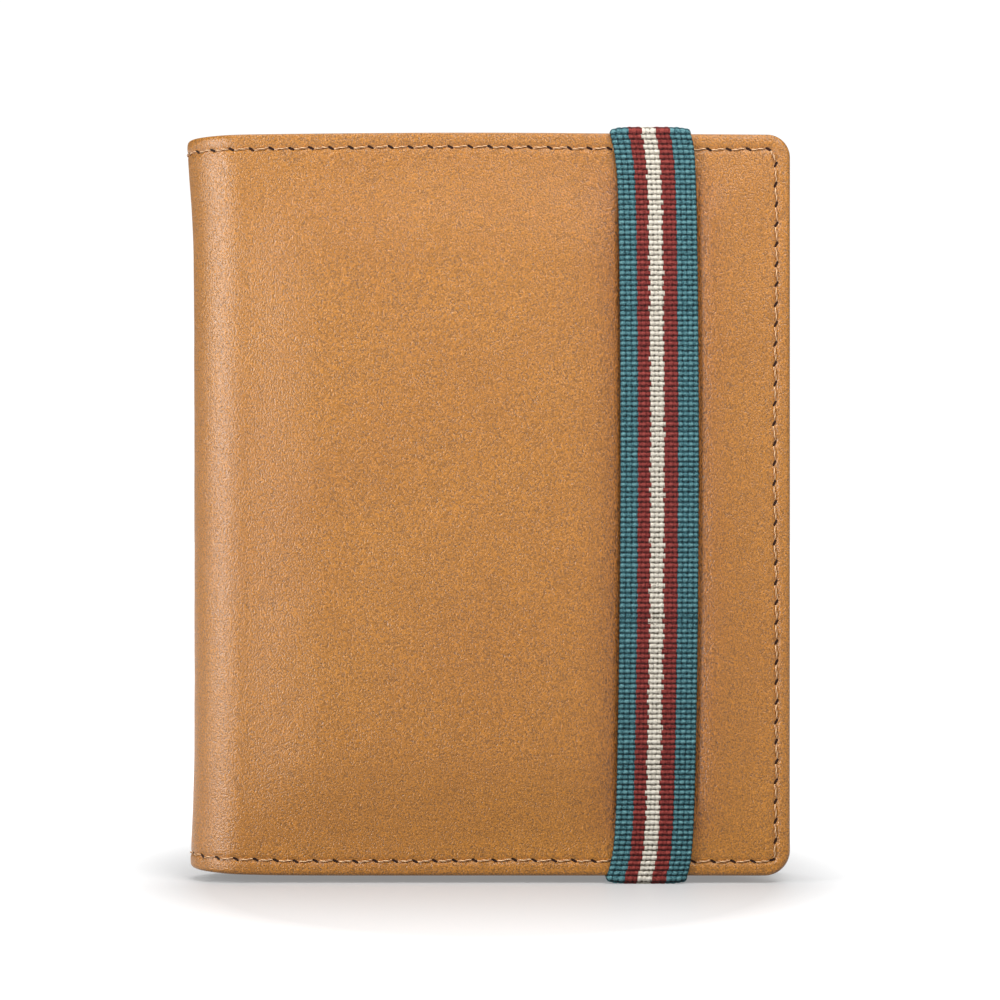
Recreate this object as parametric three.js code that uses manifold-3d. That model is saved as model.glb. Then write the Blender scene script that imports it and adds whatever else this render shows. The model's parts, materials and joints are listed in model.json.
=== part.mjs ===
// A bifold leather travel document organizer, closed and standing on its lower edge.
//
// Two padded leather covers are joined by a soft round spine. Inside, the front cover carries a slip
// pocket with four card slots, and the back cover carries a gusseted passport pocket. A woven elastic
// band is sewn into the back cover's upper and lower seams and closes the organizer over its front.
//
// Millimetres. +X runs from the spine to the fore edge, +Y from the front cover to the back cover, and
// +Z up. The origin is at the middle of the base: the lowest point is the band's lower turn, at Z = 0.
import * as THREE from "three";
import { mergeVertices } from "three/addons/utils/BufferGeometryUtils.js";
import Module from "manifold-3d";

const wasm = await Module();
wasm.setup();

// ---- Driving dimensions ------------------------------------------------------------------------

const WIDTH = 117; // spine to fore edge, closed
const HEIGHT = 144.4; // of the leather, without the band
const THICKNESS = 20.6; // outer face to outer face, closed
const TOP_CORNER = 4.5; // radius of the fore edge's upper corners
const BOTTOM_CORNER = 6; // and of its lower corners

const LEATHER = 1.2; // outer leather
const FOAM = 0.8; // padding under it
const BOARD = 0.7; // stiffener under that
const LINING = 0.5; // lining over the stiffener
const POCKET_LEATHER = 0.9; // passport pocket's face
const SLIP_LEATHER = 0.7; // slip pocket behind the card slots
const CARD_LEATHER = 0.6; // each card slot
const LAYER_GAP = 0.1; // between layers that are glued or sewn face to face
const HEM = 4.2; // width of the leather turned in round a cover's edge
const LINING_INSET = 0.5; // the lining stops short of the cover's edge

const BAND_WIDTH = 15;
const BAND = 1.3; // thickness of the woven elastic
const BAND_X = 32; // its middle
const BAND_GAP = 0.15; // between it and the leather
const BAND_TAIL = 11; // length sewn into the back cover's seam

const SEAM_INSET = 2.9; // edge seam to the cover's edge
const POCKET_SEAM_INSET = 2.6; // a pocket's seam to the pocket's edge
const THREAD = 0.6; // width of a sewn line
const THREAD_HEIGHT = 0.22;
const GROOVE = 0.9; // the line that the seam presses into the leather
const GROOVE_DEPTH = 0.35;
const THREAD_DEPTH = 0.11; // the thread lies this far down in its groove

const PASSPORT_DEPTH = 4.4; // clear depth of the passport pocket
const PASSPORT_HEIGHT = 112; // of its face
const CARD_SLOTS = 4;
const CARD_STEP = 14; // between the mouths of two card slots
const CARD_STRIP = 50; // height of one card slot's leather
const CARD_X = [-39, 53]; // the card slots' sides
const LOWEST_CARD_EDGE = 8; // above the leather's lower edge

const HINGES = 3; // fold lines of the spine
const ROUND = 6; // degrees of one facet on a curve

// ---- Worked out from them ----------------------------------------------------------------------

const HALF = THICKNESS / 2;
const FORE_EDGE = WIDTH / 2;
const SPINE_X = -WIDTH / 2 + HALF; // the spine's centre line, where the flat covers begin
const LOW = BAND + BAND_GAP; // the leather's lower edge stands on the band
const HIGH = LOW + HEIGHT;
const FOAM_DEPTH = LEATHER + LAYER_GAP;
const BOARD_DEPTH = FOAM_DEPTH + FOAM + LAYER_GAP;
const LINING_DEPTH = BOARD_DEPTH + BOARD + LAYER_GAP;
const POCKET_DEPTH = LINING_DEPTH + LINING + LAYER_GAP;
const SPINE_LINING_R = HALF - LEATHER - 2 * LAYER_GAP; // outer radius of the spine's lining
const COVER_ARC = 180 / HINGES / 2; // degrees of the spine's arc that each cover keeps
const SEGMENT_ARC = 180 / HINGES; // degrees of each loose spine segment
const SLIT = 1.2; // degrees left open at each fold line
const FRONT = -1; // the side of a layer: the front cover's outer face looks along -Y
const BACK = 1;
const BAND_SIDES = [BAND_X - BAND_WIDTH / 2, BAND_X + BAND_WIDTH / 2];
const ANCHOR_DEPTH = 1.5; // the band's sewn ends, measured in from the back face
const NOTCH = 0.25; // room round the band's ends

// ---- Solids ------------------------------------------------------------------------------------

function solidOf(geometry) {
  const loose = geometry.index ? geometry.toNonIndexed() : geometry;
  const bare = new THREE.BufferGeometry().setAttribute("position", loose.getAttribute("position"));
  const merged = mergeVertices(bare, 1e-4);
  return new wasm.Manifold(
    new wasm.Mesh({
      numProp: 3,
      vertProperties: merged.attributes.position.array,
      triVerts: new Uint32Array(merged.index.array),
    }),
  );
}

function geometryOf(solid) {
  const mesh = solid.getMesh();
  const points = new Float32Array(mesh.numVert * 3);
  for (let i = 0; i < mesh.numVert; i++) {
    const first = i * mesh.numProp;
    points.set(mesh.vertProperties.subarray(first, first + 3), i * 3);
  }
  return new THREE.BufferGeometry()
    .setAttribute("position", new THREE.BufferAttribute(points, 3))
    .setIndex(new THREE.BufferAttribute(mesh.triVerts, 1));
}

function extrude(shape, depth) {
  return new THREE.ExtrudeGeometry(shape, { depth, bevelEnabled: false, curveSegments: 8 });
}

// A box between two values on each axis.
function block([x0, x1], [y0, y1], [z0, z1]) {
  const box = new THREE.BoxGeometry(x1 - x0, y1 - y0, z1 - z0);
  return solidOf(box.translate((x0 + x1) / 2, (y0 + y1) / 2, (z0 + z1) / 2));
}

// The two Y values of a layer of a cover, from its depth below that cover's outer face.
function layerY(side, depth, thickness) {
  const near = side * (HALF - depth);
  const far = side * (HALF - depth - thickness);
  return [Math.min(near, far), Math.max(near, far)];
}

// A flat layer of a cover: an outline drawn in X and Z, given its thickness along Y.
function layer(outline, side, depth, thickness) {
  const [, high] = layerY(side, depth, thickness);
  return solidOf(extrude(outline, thickness).rotateX(Math.PI / 2).translate(0, high, 0));
}

// The line round a cover's three free edges, moved in by an inset, from below to above.
function edgeLine(fromX, inset, leastCorner = 0.8) {
  const low = LOW + inset;
  const high = HIGH - inset;
  const right = FORE_EDGE - inset;
  const lowCorner = Math.max(BOTTOM_CORNER - inset, leastCorner);
  const highCorner = Math.max(TOP_CORNER - inset, leastCorner);
  const path = new THREE.Path().moveTo(fromX, low);
  path.lineTo(right - lowCorner, low);
  path.absarc(right - lowCorner, low + lowCorner, lowCorner, -Math.PI / 2, 0, false);
  path.lineTo(right, high - highCorner);
  path.absarc(right - highCorner, high - highCorner, highCorner, 0, Math.PI / 2, false);
  path.lineTo(fromX, high);
  return path.getPoints(6);
}

// A whole cover's outline, from X to the fore edge.
function coverOutline(fromX, inset) {
  return new THREE.Shape(edgeLine(fromX, inset));
}

// A strip of a given width that follows the three free edges.
function edgeStrip(fromX, inset, width) {
  return new THREE.Shape([...edgeLine(fromX, inset), ...edgeLine(fromX, inset + width).reverse()]);
}

// A piece of the round spine: between two radii, two angles (0 at the back cover, 180 at the front
// cover) and two heights.
function spineArc(inner, outer, from, to, [low, high]) {
  const start = THREE.MathUtils.degToRad(90 + from);
  const end = THREE.MathUtils.degToRad(90 + to);
  const shape = new THREE.Shape().absarc(SPINE_X, 0, outer, start, end, false);
  shape.absarc(SPINE_X, 0, inner, end, start, true);
  const steps = Math.max(2, Math.round((to - from) / ROUND));
  const solid = new THREE.ExtrudeGeometry(shape, {
    depth: high - low,
    bevelEnabled: false,
    curveSegments: steps,
  });
  return solidOf(solid.translate(0, 0, low));
}

// ---- Colours -----------------------------------------------------------------------------------

function material(color, roughness, metalness = 0) {
  return new THREE.MeshStandardMaterial({ color, roughness, metalness });
}
const TAN_LEATHER = material(0xc58a4a, 0.55);
const POCKET_TAN = material(0xbd8346, 0.6);
const LINING_FABRIC = material(0x8a6b4c, 0.9);
const FOAM_GREY = material(0xd8d4cc, 0.95);
const BOARD_GREY = material(0x9c9488, 0.9);
const THREAD_PEACH = material(0xe0b48c, 0.8);
const BAND_TEAL = material(0x3f7f86, 0.85);

const organizer = new THREE.Group();
// The band stands proud of the front only, so the group moves back to keep the origin central.
organizer.position.y = LOW / 2;

function add(name, solid, look) {
  const mesh = new THREE.Mesh(geometryOf(solid), look);
  mesh.name = name;
  organizer.add(mesh);
}

// ---- Covers ------------------------------------------------------------------------------------

const PAST_SPINE = SPINE_X - HALF - 1; // a place beyond the spine's outer face
const PADDING_START = SPINE_X + 2; // the hem, the padding and the stiffener stop short of the spine
const COVER_ARC_END = THREE.MathUtils.degToRad(90 + COVER_ARC - SLIT / 2);

// The section of a layer in X and Y, run up the whole height and cut to an outline in X and Z.
function sectionRun(points, side, outline) {
  const section = points.map(({ x, y }) => new THREE.Vector2(x, side * y));
  const run = solidOf(extrude(new THREE.Shape(section), HIGH + 1));
  const cut = solidOf(extrude(outline, 2 * THICKNESS).rotateX(Math.PI / 2).translate(0, THICKNESS, 0));
  return run.intersect(cut);
}

// A layer that follows a cover's flat face and its part of the round spine.
function wrappedLayer(outline, side, depth, thickness) {
  const outer = HALF - depth;
  const inner = outer - thickness;
  const section = new THREE.Path().absarc(SPINE_X, 0, outer, COVER_ARC_END, Math.PI / 2, true);
  section.lineTo(FORE_EDGE + 1, outer);
  section.lineTo(FORE_EDGE + 1, inner);
  section.absarc(SPINE_X, 0, inner, Math.PI / 2, COVER_ARC_END, false);
  return sectionRun(section.getPoints(3), side, outline);
}

// The outer leather: its wrapped face, with the hem turned in behind the free edges.
function coverLeather(side) {
  const overlap = 0.2;
  const hemDepth = LEATHER - overlap;
  const hemHeight = LINING_DEPTH - LAYER_GAP - hemDepth;
  const hem = layer(edgeStrip(PADDING_START, 0, HEM), side, hemDepth, hemHeight);
  const groove = edgeStrip(PAST_SPINE, SEAM_INSET - GROOVE / 2, GROOVE);
  return wrappedLayer(coverOutline(PAST_SPINE, 0), side, 0, LEATHER)
    .add(hem)
    .subtract(wrappedLayer(groove, side, -0.1, GROOVE_DEPTH + 0.1));
}

// The lining lies on the stiffener and steps down beside it onto the spine's leather.
function coverLining(side) {
  const outer = SPINE_LINING_R;
  const inner = outer - LINING;
  const raised = HALF - LINING_DEPTH;
  const step = SPINE_X + 1;
  const section = new THREE.Path().absarc(SPINE_X, 0, outer, COVER_ARC_END, Math.PI / 2, true);
  section.lineTo(step + LINING, outer);
  section.lineTo(step + LINING, raised);
  section.lineTo(FORE_EDGE + 1, raised);
  section.lineTo(FORE_EDGE + 1, raised - LINING);
  section.lineTo(step, raised - LINING);
  section.lineTo(step, inner);
  section.absarc(SPINE_X, 0, inner, Math.PI / 2, COVER_ARC_END, false);
  return sectionRun(section.getPoints(3), side, coverOutline(PAST_SPINE, LINING_INSET));
}

// Where the band's sewn ends lie in the back cover: the upper end, then the lower end.
function bandEnds(room) {
  const sides = [BAND_SIDES[0] - room, BAND_SIDES[1] + room];
  const [near, far] = layerY(BACK, ANCHOR_DEPTH, BAND);
  const depth = [near - room, far + room];
  return [
    block(sides, depth, [HIGH - BAND_TAIL - room, HIGH + room]),
    block(sides, depth, [LOW - room, LOW + BAND_TAIL + room]),
  ];
}

function withoutBandEnds(solid) {
  return bandEnds(NOTCH).reduce((left, end) => left.subtract(end), solid);
}

function addCover(name, side, cut) {
  const padding = coverOutline(PADDING_START, HEM + 2 * LAYER_GAP);
  const seam = edgeStrip(PAST_SPINE, SEAM_INSET - THREAD / 2, THREAD);
  add(`${name}_leather`, cut(coverLeather(side)), TAN_LEATHER);
  add(`${name}_foam_padding`, cut(layer(padding, side, FOAM_DEPTH, FOAM)), FOAM_GREY);
  add(`${name}_stiffener_board`, cut(layer(padding, side, BOARD_DEPTH, BOARD)), BOARD_GREY);
  add(`${name}_lining`, coverLining(side), LINING_FABRIC);
  add(`${name}_edge_seam`, wrappedLayer(seam, side, THREAD_DEPTH, THREAD_HEIGHT), THREAD_PEACH);
}

addCover("back_cover", BACK, withoutBandEnds);
addCover("front_cover", FRONT, (solid) => solid);

// ---- Spine -------------------------------------------------------------------------------------

const SEAM_HEIGHTS = { lower: LOW + SEAM_INSET, upper: HIGH - SEAM_INSET };

// The loose segments between the covers' arcs, from the back cover to the front cover.
["spine_rear", "spine_front"].forEach((name, n) => {
  const from = COVER_ARC + n * SEGMENT_ARC + SLIT / 2;
  const to = from + SEGMENT_ARC - SLIT;
  const linedHeight = [LOW + LINING_INSET, HIGH - LINING_INSET];
  let leather = spineArc(HALF - LEATHER, HALF, from, to, [LOW, HIGH]);
  for (const [place, z] of Object.entries(SEAM_HEIGHTS)) {
    const groove = [z - GROOVE / 2, z + GROOVE / 2];
    const line = [z - THREAD / 2, z + THREAD / 2];
    const top = HALF - THREAD_DEPTH;
    leather = leather.subtract(spineArc(HALF - GROOVE_DEPTH, HALF + 0.1, from - 1, to + 1, groove));
    add(`${name}_${place}_seam`, spineArc(top - THREAD_HEIGHT, top, from, to, line), THREAD_PEACH);
  }
  add(`${name}_leather`, leather, TAN_LEATHER);
  const lining = spineArc(SPINE_LINING_R - LINING, SPINE_LINING_R, from, to, linedHeight);
  add(`${name}_lining`, lining, LINING_FABRIC);
});

// ---- Pockets -----------------------------------------------------------------------------------

// A strip between two insets from a line of corner points.
function cornerStrip(line, inset, width) {
  return new THREE.Shape([...line(inset), ...line(inset + width).reverse()]);
}

// Adds a pocket's leather with its groove, and the thread that lies in the groove.
function addSewnFace(name, face, line, side, depth) {
  const bottom = depth - GROOVE_DEPTH; // of the groove, under the face that looks into the organizer
  const groove = cornerStrip(line, POCKET_SEAM_INSET - GROOVE / 2, GROOVE);
  const thread = cornerStrip(line, POCKET_SEAM_INSET - THREAD / 2, THREAD);
  add(`${name}_face`, face.subtract(layer(groove, side, bottom, GROOVE_DEPTH + 0.1)), POCKET_TAN);
  add(`${name}_seam`, layer(thread, side, bottom + 0.02, THREAD_HEIGHT), THREAD_PEACH);
}

// ---- Passport pocket, in the back cover --------------------------------------------------------

const POCKET_X = [SPINE_X + 5, FORE_EDGE - 2.2];
const POCKET_LOW = LOW + 2.2;
const POCKET_HIGH = POCKET_LOW + PASSPORT_HEIGHT;
const GUSSET = 1; // thickness of the gusset's walls
const GUSSET_INSET = 1.2; // from the pocket face's edges
const THUMB = 12; // radius of the thumb notch in the pocket's mouth

// A line down one side of the pocket, along its bottom and up its other side.
function passportLine(inset) {
  return [
    new THREE.Vector2(POCKET_X[0] + inset, POCKET_HIGH - 0.5),
    new THREE.Vector2(POCKET_X[0] + inset, POCKET_LOW + inset),
    new THREE.Vector2(POCKET_X[1] - inset, POCKET_LOW + inset),
    new THREE.Vector2(POCKET_X[1] - inset, POCKET_HIGH - 0.5),
  ];
}

// The pocket's face, with a round thumb notch in the middle of its mouth.
function passportOutline() {
  const middle = (POCKET_X[0] + POCKET_X[1]) / 2;
  const shape = new THREE.Shape().moveTo(POCKET_X[0], POCKET_LOW);
  shape.lineTo(POCKET_X[1], POCKET_LOW);
  shape.lineTo(POCKET_X[1], POCKET_HIGH);
  shape.lineTo(middle + THUMB, POCKET_HIGH);
  shape.absarc(middle, POCKET_HIGH, THUMB, 0, -Math.PI, true);
  shape.lineTo(POCKET_X[0], POCKET_HIGH);
  return shape;
}

const PASSPORT_FACE_DEPTH = POCKET_DEPTH + PASSPORT_DEPTH + LAYER_GAP;
addSewnFace(
  "passport_pocket",
  layer(passportOutline(), BACK, PASSPORT_FACE_DEPTH, POCKET_LEATHER),
  passportLine,
  BACK,
  PASSPORT_FACE_DEPTH + POCKET_LEATHER,
);
const gussetStrip = cornerStrip(passportLine, GUSSET_INSET, GUSSET);
add("passport_pocket_gusset", layer(gussetStrip, BACK, POCKET_DEPTH, PASSPORT_DEPTH), POCKET_TAN);

// ---- Slip pocket and card slots, in the front cover --------------------------------------------

const SLIP_X = [SPINE_X + 5, FORE_EDGE - 1.6]; // open at its side next to the spine
const SLIP_Z = [LOW + 1.6, HIGH - 1.6];

// A line along the slip pocket's bottom, up its side at the fore edge and back along its top.
function slipLine(inset) {
  return [
    new THREE.Vector2(SLIP_X[0] + 0.5, SLIP_Z[0] + inset),
    new THREE.Vector2(SLIP_X[1] - inset, SLIP_Z[0] + inset),
    new THREE.Vector2(SLIP_X[1] - inset, SLIP_Z[1] - inset),
    new THREE.Vector2(SLIP_X[0] + 0.5, SLIP_Z[1] - inset),
  ];
}

const slipLayer = layerY(FRONT, POCKET_DEPTH, SLIP_LEATHER);
addSewnFace("slip_pocket", block(SLIP_X, slipLayer, SLIP_Z), slipLine, FRONT, POCKET_DEPTH + SLIP_LEATHER);

// Slot 1 has the highest mouth and lies deepest: each lower slot overlaps the one above it.
for (let n = 0; n < CARD_SLOTS; n++) {
  const low = LOW + LOWEST_CARD_EDGE + (CARD_SLOTS - 1 - n) * CARD_STEP;
  const depth = POCKET_DEPTH + SLIP_LEATHER + LAYER_GAP + n * (CARD_LEATHER + LAYER_GAP);
  const strip = block(CARD_X, layerY(FRONT, depth, CARD_LEATHER), [low, low + CARD_STRIP]);
  add(`card_slot_${n + 1}`, strip, POCKET_TAN);
}

// ---- Elastic band ------------------------------------------------------------------------------

const FRONT_OF_LEATHER = -HALF - BAND_GAP;

// The span over the front cover, with its corners rounded where it turns over the edges.
function bandSpan() {
  const outer = FRONT_OF_LEATHER - BAND;
  const top = HIGH + BAND_GAP + BAND;
  const shape = new THREE.Shape().moveTo(FRONT_OF_LEATHER, 0);
  shape.lineTo(FRONT_OF_LEATHER, top);
  shape.absarc(FRONT_OF_LEATHER, top - BAND, BAND, Math.PI / 2, Math.PI, false);
  shape.lineTo(outer, BAND);
  shape.absarc(FRONT_OF_LEATHER, BAND, BAND, Math.PI, 1.5 * Math.PI, false);
  // The profile is drawn in Y and Z, so its own axes turn to lie along them.
  const turned = extrude(shape, BAND_WIDTH).applyMatrix4(
    new THREE.Matrix4().makeBasis(
      new THREE.Vector3(0, 1, 0),
      new THREE.Vector3(0, 0, 1),
      new THREE.Vector3(1, 0, 0),
    ),
  );
  return solidOf(turned.translate(BAND_SIDES[0], 0, 0));
}

const bandDepthY = [FRONT_OF_LEATHER + LAYER_GAP, layerY(BACK, ANCHOR_DEPTH, BAND)[1]];
const [upperEnd, lowerEnd] = bandEnds(0);
add("elastic_upper_sewn_end", upperEnd, BAND_TEAL);
add("elastic_lower_sewn_end", lowerEnd, BAND_TEAL);
add("elastic_upper_turn", block(BAND_SIDES, bandDepthY, [HIGH + BAND_GAP, HIGH + LOW]), BAND_TEAL);
add("elastic_lower_turn", block(BAND_SIDES, bandDepthY, [0, BAND]), BAND_TEAL);
add("elastic_front_span", bandSpan(), BAND_TEAL);

export default organizer;
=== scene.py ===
"""The looks of a bifold leather travel organizer with a woven elastic band, built round its CAD frame.

All shapes are worked out in millimetres in the row frame: +X from the spine to the fore edge, +Y from the
front cover to the back cover, +Z up. Meshes are written in metres.
"""

import json
import math

import bpy
import numpy as np
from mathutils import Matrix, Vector
from mathutils.kdtree import KDTree

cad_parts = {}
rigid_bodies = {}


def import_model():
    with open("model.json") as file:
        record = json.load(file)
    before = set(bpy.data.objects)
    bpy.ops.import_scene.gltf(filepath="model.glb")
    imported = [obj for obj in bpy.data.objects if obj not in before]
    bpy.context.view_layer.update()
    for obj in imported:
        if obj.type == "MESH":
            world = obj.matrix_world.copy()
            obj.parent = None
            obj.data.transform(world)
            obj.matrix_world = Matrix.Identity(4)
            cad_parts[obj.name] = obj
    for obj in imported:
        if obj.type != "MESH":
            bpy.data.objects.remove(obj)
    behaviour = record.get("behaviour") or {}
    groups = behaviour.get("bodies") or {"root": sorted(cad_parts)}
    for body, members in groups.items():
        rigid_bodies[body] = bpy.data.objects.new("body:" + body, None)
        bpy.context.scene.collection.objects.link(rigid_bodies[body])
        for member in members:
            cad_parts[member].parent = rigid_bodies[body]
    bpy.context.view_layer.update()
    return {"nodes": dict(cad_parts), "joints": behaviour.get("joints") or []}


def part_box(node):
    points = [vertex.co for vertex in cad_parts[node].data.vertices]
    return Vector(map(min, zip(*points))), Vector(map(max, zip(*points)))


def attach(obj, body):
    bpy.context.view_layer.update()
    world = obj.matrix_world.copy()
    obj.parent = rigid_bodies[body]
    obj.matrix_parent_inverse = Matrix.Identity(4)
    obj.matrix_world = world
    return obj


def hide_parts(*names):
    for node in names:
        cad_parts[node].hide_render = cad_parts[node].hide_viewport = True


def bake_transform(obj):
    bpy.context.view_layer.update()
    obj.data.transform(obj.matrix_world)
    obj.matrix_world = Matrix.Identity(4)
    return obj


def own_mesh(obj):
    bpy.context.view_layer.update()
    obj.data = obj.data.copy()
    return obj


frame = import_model()
scene = bpy.context.scene
MM = 0.001


# ---- Places, read from the frame ----


def node_box(name):
    """The lowest and highest corner of a CAD node, in millimetres."""
    low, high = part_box(name)
    return np.array(low) / MM, np.array(high) / MM


front_low, front_high = node_box("front_cover_leather")
back_high = node_box("back_cover_leather")[1]
spine_low = node_box("spine_rear_leather")[0]
span_low, span_high = node_box("elastic_front_span")
JOINTS = {j["name"]: j for j in frame["joints"]}

HALF = (back_high[1] - front_low[1]) / 2  # radius of the spine's outer face
MIDDLE_Y = (back_high[1] + front_low[1]) / 2
SPINE_X = spine_low[0] + HALF  # the spine's centre line
FORE = front_high[0]
LOW, HIGH = front_low[2], front_high[2]
MIDDLE_Z = (LOW + HIGH) / 2
QUARTER = HALF * math.pi / 2  # from the spine's crest to a flat cover, round the outer face
REACH = QUARTER + FORE - SPINE_X  # from the spine's crest to a fore edge
TOP_CORNER = 4.5
BOTTOM_CORNER = 5.0

EDGE = 0.95  # radius of a turned edge, on the outside
INNER_EDGE = 0.7  # and on the inside
COVER = 2.9  # thickness of a cover's leather and padding at its edge
SPINE = 1.35  # and of the spine's leather
LINING_THICK = 0.5
HEM = 2.2  # leather turned in behind the edge
SEAM = 2.95  # edge seam to the edge
SEAM_CORNER = 1.2  # radius of the edge seam's corners
PITCH = 3.87  # of the edge seam's stitches
CROWN = 1.75  # how far the padding lifts the front cover
BACK_CROWN = 0.9  # and the back cover, which is padded less
GROOVE = 0.24  # how deep a seam draws the leather in
PUCKER = 0.08  # and how much deeper at each needle hole
LAYER_GAP = 0.05  # between two layers
SWELL = 0.45  # how far the front cover's top edge rises in its middle
SWELL_AT = 44.0  # from the spine to that middle
SPINE_SAG = 0.32  # how far the spine's top edge is drawn down
SPINE_RISE = 0.75  # and its lower edge up
SPINE_TUCK = 0.1  # how far the spine's middle, with nothing behind it, lies inside the CAD face

FOLDS = ["cover_opening", "spine_middle_fold", "spine_front_fold"]
BODIES = [JOINTS[FOLDS[0]]["parent"]] + [JOINTS[name]["child"] for name in FOLDS]
FOLD_ARC = math.pi / len(FOLDS)  # the part of the spine's half circle that each fold bends
INNERMOST = HALF - SPINE - LINING_THICK - 0.5  # inside everything that lies on the spine

BAND = span_high[0] - span_low[0]
BAND_X = (span_high[0] + span_low[0]) / 2
BAND_THICK = 1.3
BAND_HALF = BAND / 2 + 0.12  # half its width where it is free to spread
RIB = 0.98  # pitch of the elastic's ribs


# ---- Small helpers ----


def smooth(t):
    """A smooth step from 0 to 1."""
    t = np.clip(t, 0, 1)
    return t * t * (3 - 2 * t)


def bell(t):
    """1 at 0, and fading to nothing on both sides within about 2."""
    return np.exp(-np.square(t))


def ripple(u, v, wavelength, seed, waves=7):
    """Soft seeded unevenness, about -1 to 1, with lengths near one wavelength."""
    rng = np.random.default_rng(seed)
    total = 0
    for _ in range(waves):
        angle, phase, stretch = rng.uniform((0, 0, 0.7), (math.pi, 2 * math.pi, 1.5))
        k = 2 * math.pi / (wavelength * stretch)
        total = total + np.sin(k * (u * math.cos(angle) + v * math.sin(angle)) + phase)
    return total / math.sqrt(waves) / 1.5


def left_of(directions):
    """Directions in a plane, turned a quarter to the left."""
    return np.stack([-directions[..., 1], directions[..., 0]], -1)


def unit(vectors):
    return vectors / np.maximum(np.linalg.norm(vectors, axis=-1, keepdims=True), 1e-9)


def spaced(start, stop, step):
    """Evenly spaced values from start to stop, about a step apart."""
    return np.linspace(start, stop, max(2, int(round(abs(stop - start) / step)) + 1))


def joined(*runs):
    """One rising list of grid lines, from runs that may share their ends."""
    return np.unique(np.round(np.concatenate(runs), 5))


def wrap(s, z, lift):
    """Points of a sheet wrapped round the organizer. s is 0 at the spine's crest, rises to REACH at the
    front cover's fore edge and falls to -REACH at the back cover's; lift is outwards."""
    turn = np.clip(s, -QUARTER, QUARTER) / HALF
    flat = np.maximum(np.abs(s) - QUARTER, 0)
    radius = HALF + lift
    x = SPINE_X - radius * np.cos(turn) + flat
    y = MIDDLE_Y - radius * np.sin(turn)
    return np.stack(np.broadcast_arrays(x, y, z), -1)


def cover_place(s, z, lift):
    """wrap, with the top edge swelling a little over the front cover, and the spine's ends drawn in."""
    points = wrap(s, z, lift)
    near_top = bell((HIGH - z) / 30.0)
    near_foot = np.exp(-np.maximum(z - LOW, 0) / 14.0)
    on_front = smooth((s + QUARTER) / (2 * QUARTER))
    swell = SWELL * on_front * bell((np.abs(s) - QUARTER - SWELL_AT) / 42)
    at_spine = bell(s / (0.9 * QUARTER))
    points[..., 2] += (swell - SPINE_SAG * at_spine) * near_top + SPINE_RISE * at_spine * near_foot
    return points


def inner_depth(s):
    """Depth of the lining's shown face under the outer leather's face."""
    at_cover = smooth((np.abs(s) - QUARTER + 1.0) / 5.0)
    return SPINE + LINING_THICK + LAYER_GAP + (COVER - SPINE + LAYER_GAP) * at_cover


def lining_place(s, z, lift):
    """Points on the lining, with lift towards the middle of the closed organizer."""
    return cover_place(s, z, -lift - inner_depth(s))


def plane_at(y, facing):
    """A placing function for a flat piece whose shown face is at y and looks along facing * Y."""
    return lambda x, z, lift: np.stack(np.broadcast_arrays(x, y + facing * lift, z), -1)


# ---- Meshes ----


def add_object(name, data):
    made = bpy.data.objects.new(name, data)
    scene.collection.objects.link(made)
    return made


def add_mesh(name, points, faces, materials, shades=None, values=None):
    """A smooth mesh object from points in millimetres. shades gives each face's material, and values
    holds the point attributes that its materials read. Every point also keeps its rest place."""
    mesh = bpy.data.meshes.new(name)
    mesh.from_pydata((points * MM).tolist(), [], np.asarray(faces).tolist())
    for material in materials:
        mesh.materials.append(material)
    if shades is not None:
        mesh.polygons.foreach_set("material_index", np.asarray(shades, np.int32))
    rest = mesh.attributes.new("rest", "FLOAT_VECTOR", "POINT")
    rest.data.foreach_set("vector", points.astype(np.float32).ravel())
    for key, value in (values or {}).items():
        attribute = mesh.attributes.new(key, "FLOAT", "POINT")
        attribute.data.foreach_set("value", np.asarray(value, np.float32).ravel())
    mesh.shade_smooth()
    mesh.update()
    return add_object(name, mesh)


def grid_faces(rows, columns, first=0):
    """Quads of a grid whose point (i, j) has the index first + i * columns + j."""
    i, j = np.meshgrid(np.arange(rows - 1), np.arange(columns - 1), indexing="ij")
    a = (first + i * columns + j).ravel()
    return np.stack([a, a + columns, a + columns + 1, a + 1], -1)


def tube_faces(rows, around, first=0):
    """Quads of a tube whose ring i starts with the index first + i * around."""
    i, j = np.meshgrid(np.arange(rows - 1), np.arange(around), indexing="ij")
    a = (first + i * around + j).ravel()
    b = (first + i * around + (j + 1) % around).ravel()
    return np.stack([a, b, b + around, a + around], -1)


def border(rows, columns):
    """Indices round a grid's border, once round."""
    index = np.arange(rows * columns).reshape(rows, columns)
    return np.concatenate([index[:, 0], index[-1, 1:], index[-2::-1, -1], index[0, -2:0:-1]])


def loop_faces(loop_a, loop_b):
    """Quads between two closed loops of indices."""
    return np.stack([loop_a, np.roll(loop_a, -1), np.roll(loop_b, -1), loop_b], -1)


def rounded_grid(s_lines, z_lines, low_corner, high_corner):
    """A grid of sheet coordinates whose four corners are rounded."""
    s, z = np.meshgrid(s_lines, z_lines, indexing="ij")
    middle_s, middle_z = (s_lines[0] + s_lines[-1]) / 2, (z_lines[0] + z_lines[-1]) / 2
    corner = np.where(z > middle_z, high_corner, low_corner)
    a = np.abs(s - middle_s) - (s_lines[-1] - s_lines[0]) / 2 + corner
    b = np.abs(z - middle_z) - (z_lines[-1] - z_lines[0]) / 2 + corner
    a, b = np.clip(a / corner, 0, 1), np.clip(b / corner, 0, 1)
    s = s + np.sign(s - middle_s) * corner * a * (np.sqrt(1 - b * b / 2) - 1)
    z = z + np.sign(z - middle_z) * corner * b * (np.sqrt(1 - a * a / 2) - 1)
    return s, z


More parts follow.
